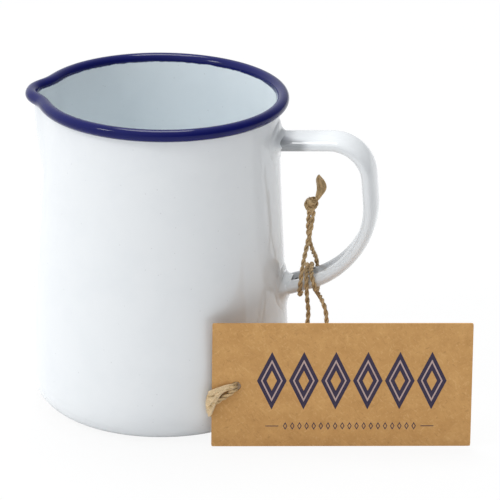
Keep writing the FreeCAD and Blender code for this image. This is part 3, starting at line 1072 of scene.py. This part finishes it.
def lozenge(halfWidth, halfHeight, bands, x, z):
    # nested diamond frames: ink, pale line, ink
    deselectAll()
    bpy.ops.mesh.primitive_circle_add(vertices=4, radius=1, fill_type="NGON",
                                      rotation=(math.radians(90), 0, 0))
    obj = bpy.context.object
    settle(obj)
    obj.data.materials.append(indigoInk)
    obj.data.materials.append(paleInk)
    bpy.ops.object.mode_set(mode="EDIT")
    bpy.ops.mesh.select_all(action="SELECT")
    bpy.ops.transform.resize(value=(halfWidth * mm, 1, halfHeight * mm), center_override=(0, 0, 0))
    for k, band in enumerate(bands):
        bpy.ops.mesh.inset(thickness=band * mm)
        bpy.ops.object.mode_set(mode="OBJECT")
        kept = [p for p in obj.data.polygons if not p.select]
        for p in kept[-4:]:
            p.material_index = k % 2
        bpy.ops.object.mode_set(mode="EDIT")
    bpy.ops.mesh.delete(type="FACE")
    bpy.ops.mesh.select_all(action="SELECT")
    face = tagSettings["thickness"] / 2 + printSettings["lift"]
    bpy.ops.transform.translate(value=(x * mm, -face * mm, z * mm))
    bpy.ops.object.mode_set(mode="OBJECT")
    return obj


def tagPrint():
    s = printSettings
    parts = []
    pitch = (s["right"] - s["left"]) / s["count"]
    for i in range(s["count"]):
        parts.append(lozenge(s["halfWidth"], s["halfHeight"], s["bands"],
                             s["left"] + pitch * (i + 0.5), s["middle"]))
    smallPitch = (s["smallRight"] - s["smallLeft"]) / (s["smallCount"] - 1)
    for i in range(s["smallCount"]):
        parts.append(lozenge(*s["smallHalf"], (s["smallBand"],),
                             s["smallLeft"] + smallPitch * i, s["smallHeight"]))
    for left, right in s["rules"]:
        deselectAll()
        bpy.ops.mesh.primitive_plane_add(size=1, rotation=(math.radians(90), 0, 0))
        rule = bpy.context.object
        settle(rule)
        bpy.ops.object.mode_set(mode="EDIT")
        bpy.ops.mesh.select_all(action="SELECT")
        bpy.ops.transform.resize(value=((right - left) * mm, 1, 2 * s["ruleHalf"] * mm),
                                 center_override=(0, 0, 0))
        bpy.ops.transform.translate(value=((left + right) / 2 * mm,
                                           -(tagSettings["thickness"] / 2 + s["lift"]) * mm,
                                           s["smallHeight"] * mm))
        bpy.ops.object.mode_set(mode="OBJECT")
        rule.data.materials.append(indigoInk)
        parts.append(rule)
    deselectAll()
    for part in parts:
        part.select_set(True)
    bpy.context.view_layer.objects.active = parts[0]
    bpy.ops.object.join()
    obj = bpy.context.object
    obj.name = "tagPrint"
    film = obj.modifiers.new("film", "SOLIDIFY")
    film.thickness = 0.025 * mm
    film.offset = -1 if obj.data.polygons[0].normal.y < 0 else 1
    applyAll(obj)
    placeOnTag(obj)
    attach(obj, "tag")
    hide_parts("tag_print")
    return obj


tagCard()
tagPrint()
print("tag made")


# Floor, studio and light

studioSettings = {
    "floorColour": (0.9, 0.9, 0.9, 1),
    "floorGlow": 0.10,
    "floorGlowSeen": 0.9,
    "skyToward": (-0.88, 0.05, 0.47),
    "skySpan": (-0.70, 0.85),
    "skyStrength": (0.20, 1.07),
    "skyColour": (0.95, 0.975, 1.0, 1),
    # name, place, target, size, power
    "lamps": [("keyLight", (-1.3, -1.1, 1.5), (0, 0, 0.07), 0.4, 6.8),
              ("topLight", (-0.1, 0.3, 1.5), (0, 0, 0.12), 0.6, 9.0)],
}


def studio(s):
    deselectAll()
    bpy.ops.mesh.primitive_plane_add(size=12)
    floor = bpy.context.object
    floor.name = "studioFloor"
    material, tree, shader = newMaterial("paleFloor")
    shader.inputs["Base Color"].default_value = s["floorColour"]
    shader.inputs["Roughness"].default_value = 0.9
    glow = node(tree, "ShaderNodeEmission", Strength=1.0)
    glow.inputs["Color"].default_value = (1, 1, 1, 1)
    seen = node(tree, "ShaderNodeLightPath")
    share = maths(tree, "MULTIPLY", seen.outputs["Is Camera Ray"], s["floorGlowSeen"])
    share = maths(tree, "MAXIMUM", share, s["floorGlow"])
    mix = tree.nodes.new("ShaderNodeMixShader")
    tree.links.new(share, mix.inputs[0])
    tree.links.new(shader.outputs[0], mix.inputs[1])
    tree.links.new(glow.outputs[0], mix.inputs[2])
    out = next(n for n in tree.nodes if n.type == "OUTPUT_MATERIAL")
    tree.links.new(mix.outputs[0], out.inputs["Surface"])
    floor.data.materials.append(material)

    world = bpy.data.worlds.new("studioWorld")
    bpy.context.scene.world = world
    world.use_nodes = True
    tree = world.node_tree
    tree.nodes.clear()
    out = tree.nodes.new("ShaderNodeOutputWorld")
    place = node(tree, "ShaderNodeTexCoord")
    toward = tree.nodes.new("ShaderNodeVectorMath")
    toward.operation = "DOT_PRODUCT"
    toward.inputs[1].default_value = Vector(s["skyToward"]).normalized()
    tree.links.new(place.outputs["Generated"], toward.inputs[0])
    spread = node(tree, "ShaderNodeMapRange")
    spread.interpolation_type = "SMOOTHSTEP"
    spread.inputs["From Min"].default_value = s["skySpan"][0]
    spread.inputs["From Max"].default_value = s["skySpan"][1]
    spread.inputs["To Min"].default_value = s["skyStrength"][0]
    spread.inputs["To Max"].default_value = s["skyStrength"][1]
    tree.links.new(toward.outputs["Value"], spread.inputs["Value"])
    light = node(tree, "ShaderNodeBackground")
    light.inputs["Color"].default_value = s["skyColour"]
    tree.links.new(spread.outputs["Result"], light.inputs["Strength"])
    plain = node(tree, "ShaderNodeBackground", Strength=1.0)
    plain.inputs["Color"].default_value = (1, 1, 1, 1)
    seen = node(tree, "ShaderNodeLightPath")
    mix = tree.nodes.new("ShaderNodeMixShader")
    tree.links.new(seen.outputs["Is Camera Ray"], mix.inputs[0])
    tree.links.new(light.outputs[0], mix.inputs[1])
    tree.links.new(plain.outputs[0], mix.inputs[2])
    tree.links.new(mix.outputs[0], out.inputs["Surface"])

    for name, place, target, size, power in s["lamps"]:
        bpy.ops.object.light_add(type="AREA", location=place)
        lamp = bpy.context.object
        lamp.name = name
        lamp.data.size = size
        lamp.data.energy = power
        lamp.rotation_euler = (Vector(target) - Vector(place)).to_track_quat("-Z", "Y").to_euler()


studio(studioSettings)
print("studio lit")
